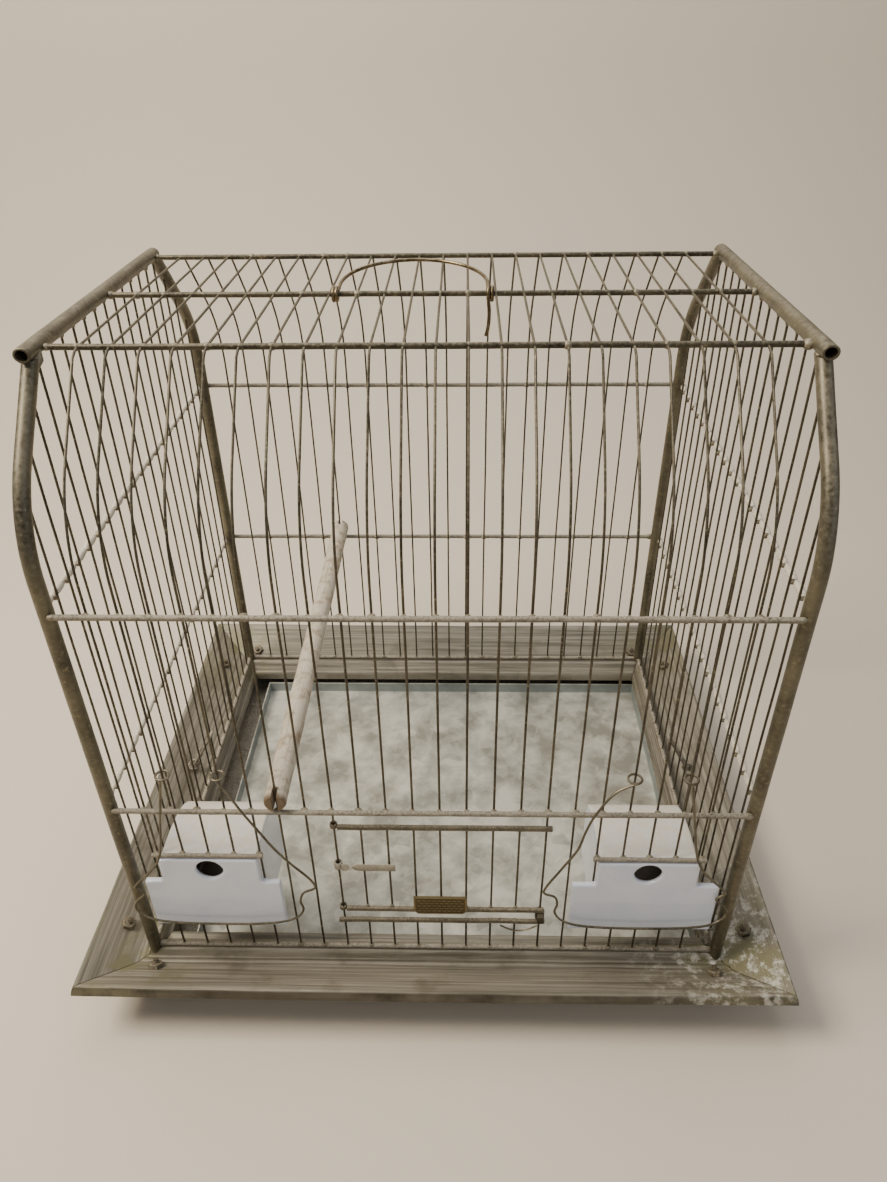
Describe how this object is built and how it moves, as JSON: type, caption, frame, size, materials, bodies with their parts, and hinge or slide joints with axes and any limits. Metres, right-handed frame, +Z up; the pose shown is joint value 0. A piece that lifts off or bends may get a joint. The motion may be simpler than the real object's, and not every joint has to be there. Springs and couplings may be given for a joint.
{
  "type": "wire bird cage",
  "caption": "Tabletop wire bird cage with curved front and back, flat roof with ring handle, side-hinged door, slide-out tray and glass feeders held by wire bails.",
  "frame": {"origin": "on the table, under the middle of the cage", "axes": "+Z up, -Y out of the door side, +X to the right as the door is faced"},
  "size_m": [0.4206, 0.3606, 0.3937],
  "materials": {
    "aged_brass": "aged olive-brown brass wire, dull",
    "dusty_rod": "dusty grey-beige soldered rod",
    "weathered_sheet": "weathered sheet metal with grey-beige patina",
    "galvanised_sheet": "mottled galvanised sheet",
    "milk_glass": "opaque white pressed glass, glossy",
    "spring_wire": "drawn spring wire, grey-brown",
    "bright_brass": "worn brass wire, bright where rubbed",
    "raw_wood": "bare dusty dowel",
    "dark_bronze": "dark bronze"
  },
  "bodies": {
    "cage": {"back_wires": "aged_brass", "corner_gusset_back_left": "dark_bronze", "corner_gusset_back_right": "dark_bronze", "corner_gusset_front_left": "dark_bronze", "corner_gusset_front_right": "dark_bronze", "feeder_lintel_left": "dusty_rod", "feeder_lintel_right": "dusty_rod", "flange_back": "weathered_sheet", "flange_front": "weathered_sheet", "flange_left": "weathered_sheet", "flange_nut_back_left_1": "weathered_sheet", "flange_nut_back_left_2": "weathered_sheet", "flange_nut_back_right_1": "weathered_sheet", "flange_nut_back_right_2": "weathered_sheet", "flange_nut_front_left_1": "weathered_sheet", "flange_nut_front_left_2": "weathered_sheet", "flange_nut_front_right_1": "weathered_sheet", "flange_nut_front_right_2": "weathered_sheet", "flange_right": "weathered_sheet", "front_sill": "dusty_rod", "front_wires": "aged_brass", "left_wires": "aged_brass", "lower_rod_back": "dusty_rod", "lower_rod_front": "dusty_rod", "lower_rod_left": "dusty_rod", "lower_rod_right": "dusty_rod", "post_back_left": "aged_brass", "post_back_right": "aged_brass", "post_front_left": "aged_brass", "post_front_right": "aged_brass", "right_wires": "aged_brass", "roof_tube_left": "aged_brass", "roof_tube_right": "aged_brass", "roof_wires": "aged_brass", "side_eye_left": "dusty_rod", "side_eye_right": "dusty_rod", "skirt": "weathered_sheet", "upper_rod_back": "dusty_rod", "upper_rod_front": "dusty_rod", "upper_rod_left": "dusty_rod", "upper_rod_right": "dusty_rod"},
    "tray": {"tray": "galvanised_sheet"},
    "door": {"door_panel": "aged_brass", "door_strap": "dusty_rod", "door_plate": "dark_bronze"},
    "latch": {"door_latch": "dark_bronze"},
    "handle": {"handle": "bright_brass"},
    "perch": {"perch": "raw_wood"},
    "feeder_left": {"feeder_left": "milk_glass"},
    "feeder_right": {"feeder_right": "milk_glass"},
    "bail_left": {"feeder_bail_left": "spring_wire"},
    "bail_right": {"feeder_bail_right": "spring_wire"},
    "clip_left": {"side_clip_left": "dusty_rod"},
    "clip_right": {"side_clip_right": "dusty_rod"}
  },
  "joints": [
    {"name": "tray_slide", "type": "slide", "parent": "cage", "child": "tray", "axis": [0, -1, 0], "range_m": [0, 0.26]},
    {"name": "door_swing", "type": "hinge", "parent": "cage", "child": "door", "pos_m": [-0.0525, -0.1425, 0.107], "axis": [0, 0, -1], "range_deg": [0, 90]},
    {"name": "latch_turn", "type": "hinge", "parent": "cage", "child": "latch", "pos_m": [0.0635, -0.1425, 0.066], "axis": [0, 0, 1], "range_deg": [0, 90]},
    {"name": "handle_swing", "type": "hinge", "parent": "cage", "child": "handle", "pos_m": [-0.009, 0, 0.388], "axis": [1, 0, 0], "range_deg": [0, 170]},
    {"name": "perch_lift", "type": "slide", "parent": "cage", "child": "perch", "axis": [0, 0, 1], "range_m": [0, 0.1]},
    {"name": "feeder_left_slide", "type": "slide", "parent": "cage", "child": "feeder_left", "axis": [0, -1, 0], "range_m": [0, 0.068]},
    {"name": "feeder_right_slide", "type": "slide", "parent": "cage", "child": "feeder_right", "axis": [0, -1, 0], "range_m": [0, 0.068]},
    {"name": "bail_left_swing", "type": "hinge", "parent": "cage", "child": "bail_left", "pos_m": [-0.125, -0.1425, 0.18], "axis": [-1, 0, 0], "range_deg": [0, 55]},
    {"name": "bail_right_swing", "type": "hinge", "parent": "cage", "child": "bail_right", "pos_m": [0.1215, -0.1425, 0.18], "axis": [-1, 0, 0], "range_deg": [0, 55]},
    {"name": "clip_left_swing", "type": "hinge", "parent": "cage", "child": "clip_left", "pos_m": [-0.18632, 0.00715, 0.03705], "axis": [0, -1, 0], "range_deg": [0, 75]},
    {"name": "clip_right_swing", "type": "hinge", "parent": "cage", "child": "clip_right", "pos_m": [0.18632, 0.00715, 0.03705], "axis": [0, 1, 0], "range_deg": [0, 75]}
  ],
  "couplings": [
    {"joint": "bail_left_swing", "follows": "feeder_left_slide", "rad_per_m": 14},
    {"joint": "bail_right_swing", "follows": "feeder_right_slide", "rad_per_m": 14}
  ]
}
